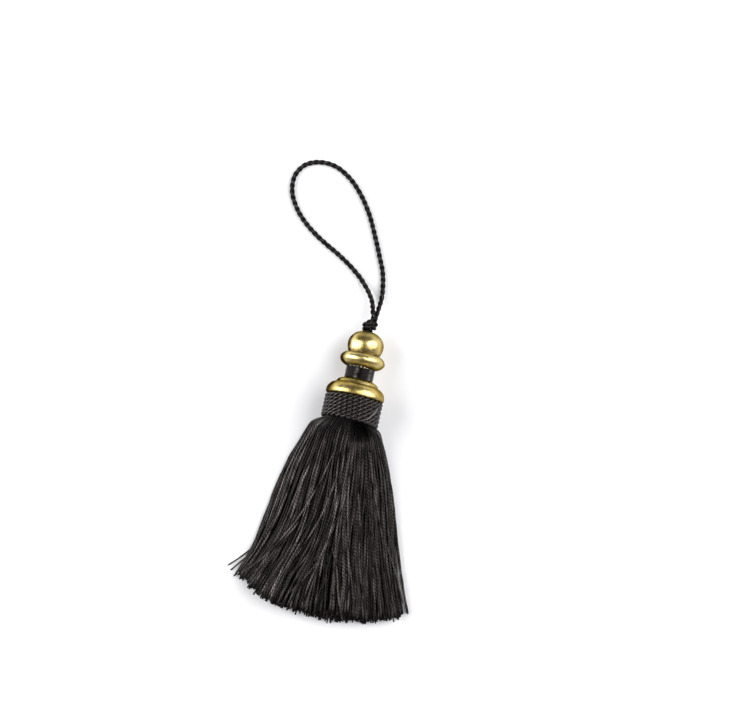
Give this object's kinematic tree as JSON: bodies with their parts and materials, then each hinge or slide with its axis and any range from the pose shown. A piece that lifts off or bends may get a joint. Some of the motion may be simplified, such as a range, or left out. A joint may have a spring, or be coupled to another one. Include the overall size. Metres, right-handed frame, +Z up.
{
  "type": "hanging tassel",
  "caption": "Key tassel lying flat: gilded turned wooden head, thread-wound neck, band of wound cord, fanned skirt of cut yarn and a knotted hanging loop of twisted cord.",
  "frame": {"origin": "on the surface it lies on, under the middle of the box round head and skirt, without the knot and the loop", "axes": "+Y from the skirt's cut end towards the head and the loop, +Z up from the surface, +X to the right seen from above with the loop away"},
  "size_m": [0.0913, 0.2169, 0.0296],
  "materials": {
    "gilded_wood": "turned wood, gilded by hand, softly burnished, darker in the grooves",
    "satin_thread": "fine black satin thread, wound close",
    "twisted_cord": "black two-ply rayon cord, soft sheen",
    "cut_yarn": "charcoal black twisted rayon yarn, cut ends"
  },
  "bodies": {
    "root": {"turned_head": "gilded_wood", "neck_winding": "satin_thread", "wound_band": "twisted_cord", "yarn_skirt": "cut_yarn", "cord_knot": "twisted_cord", "loop_cord": "twisted_cord"}
  },
  "joints": []
}
